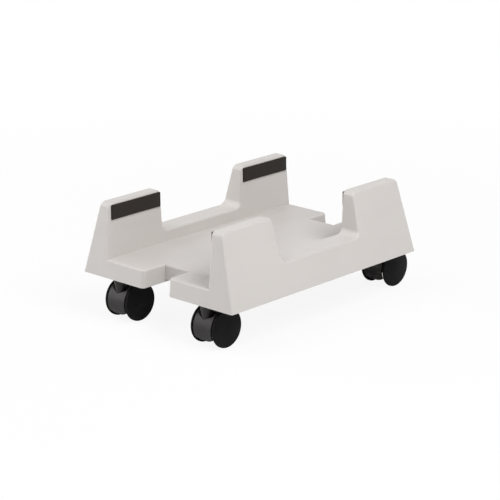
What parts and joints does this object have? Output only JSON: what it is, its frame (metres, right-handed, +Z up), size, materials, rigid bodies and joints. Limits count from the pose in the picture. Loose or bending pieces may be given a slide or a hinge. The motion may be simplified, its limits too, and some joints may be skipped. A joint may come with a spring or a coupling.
{
  "type": "cpu holder",
  "caption": "Rolling holder for a computer tower, with moulded halves that slide to set its width, padded uprights and swivelling twin-wheel casters.",
  "frame": {"origin": "on the floor, in the middle of the whole object's footprint with the casters trailing to the rear", "axes": "+X to the right half, -Y to the front, +Z up"},
  "size_m": [0.208, 0.3028, 0.122],
  "materials": {
    "body_plastic": "fine-grained light warm grey moulding",
    "pad_foam": "matt closed-cell foam, dark brown-black",
    "caster_plastic": "satin black moulding",
    "steel": "zinc-plated"
  },
  "bodies": {
    "left_half": {"left_base": "body_plastic", "pad_front_left": "pad_foam", "pad_rear_left": "pad_foam", "stem_front_left": "steel", "stem_rear_left": "steel", "grip_rings_left": "steel"},
    "right_half": {"right_base": "body_plastic", "pad_front_right": "pad_foam", "pad_rear_right": "pad_foam", "stem_front_right": "steel", "stem_rear_right": "steel", "grip_rings_right": "steel"},
    "caster_front_left": {"hood_front_left": "caster_plastic", "axle_front_left": "steel"},
    "caster_rear_left": {"hood_rear_left": "caster_plastic", "axle_rear_left": "steel"},
    "caster_front_right": {"hood_front_right": "caster_plastic", "axle_front_right": "steel"},
    "caster_rear_right": {"hood_rear_right": "caster_plastic", "axle_rear_right": "steel"},
    "wheel_front_left_outer": {"wheel_front_left_outer": "caster_plastic"},
    "wheel_front_left_inner": {"wheel_front_left_inner": "caster_plastic"},
    "wheel_rear_left_outer": {"wheel_rear_left_outer": "caster_plastic"},
    "wheel_rear_left_inner": {"wheel_rear_left_inner": "caster_plastic"},
    "wheel_front_right_outer": {"wheel_front_right_outer": "caster_plastic"},
    "wheel_front_right_inner": {"wheel_front_right_inner": "caster_plastic"},
    "wheel_rear_right_outer": {"wheel_rear_right_outer": "caster_plastic"},
    "wheel_rear_right_inner": {"wheel_rear_right_inner": "caster_plastic"}
  },
  "joints": [
    {"name": "width_slide", "type": "slide", "parent": "left_half", "child": "right_half", "axis": [1, 0, 0], "range_m": [-0.015, 0.046]},
    {"name": "swivel_front_left", "type": "hinge", "parent": "left_half", "child": "caster_front_left", "pos_m": [-0.0606, -0.1414, 0.0354], "axis": [0, 0, 1], "continuous": true},
    {"name": "swivel_rear_left", "type": "hinge", "parent": "left_half", "child": "caster_rear_left", "pos_m": [-0.0606, 0.1186, 0.0354], "axis": [0, 0, 1], "continuous": true},
    {"name": "swivel_front_right", "type": "hinge", "parent": "right_half", "child": "caster_front_right", "pos_m": [0.0606, -0.1414, 0.0354], "axis": [0, 0, 1], "continuous": true},
    {"name": "swivel_rear_right", "type": "hinge", "parent": "right_half", "child": "caster_rear_right", "pos_m": [0.0606, 0.1186, 0.0354], "axis": [0, 0, 1], "continuous": true},
    {"name": "roll_front_left_outer", "type": "hinge", "parent": "caster_front_left", "child": "wheel_front_left_outer", "pos_m": [-0.0606, -0.1286, 0.02], "axis": [1, 0, 0], "continuous": true},
    {"name": "roll_front_left_inner", "type": "hinge", "parent": "caster_front_left", "child": "wheel_front_left_inner", "pos_m": [-0.0606, -0.1286, 0.02], "axis": [1, 0, 0], "continuous": true},
    {"name": "roll_rear_left_outer", "type": "hinge", "parent": "caster_rear_left", "child": "wheel_rear_left_outer", "pos_m": [-0.0606, 0.1314, 0.02], "axis": [1, 0, 0], "continuous": true},
    {"name": "roll_rear_left_inner", "type": "hinge", "parent": "caster_rear_left", "child": "wheel_rear_left_inner", "pos_m": [-0.0606, 0.1314, 0.02], "axis": [1, 0, 0], "continuous": true},
    {"name": "roll_front_right_outer", "type": "hinge", "parent": "caster_front_right", "child": "wheel_front_right_outer", "pos_m": [0.0606, -0.1286, 0.02], "axis": [1, 0, 0], "continuous": true},
    {"name": "roll_front_right_inner", "type": "hinge", "parent": "caster_front_right", "child": "wheel_front_right_inner", "pos_m": [0.0606, -0.1286, 0.02], "axis": [1, 0, 0], "continuous": true},
    {"name": "roll_rear_right_outer", "type": "hinge", "parent": "caster_rear_right", "child": "wheel_rear_right_outer", "pos_m": [0.0606, 0.1314, 0.02], "axis": [1, 0, 0], "continuous": true},
    {"name": "roll_rear_right_inner", "type": "hinge", "parent": "caster_rear_right", "child": "wheel_rear_right_inner", "pos_m": [0.0606, 0.1314, 0.02], "axis": [1, 0, 0], "continuous": true}
  ]
}
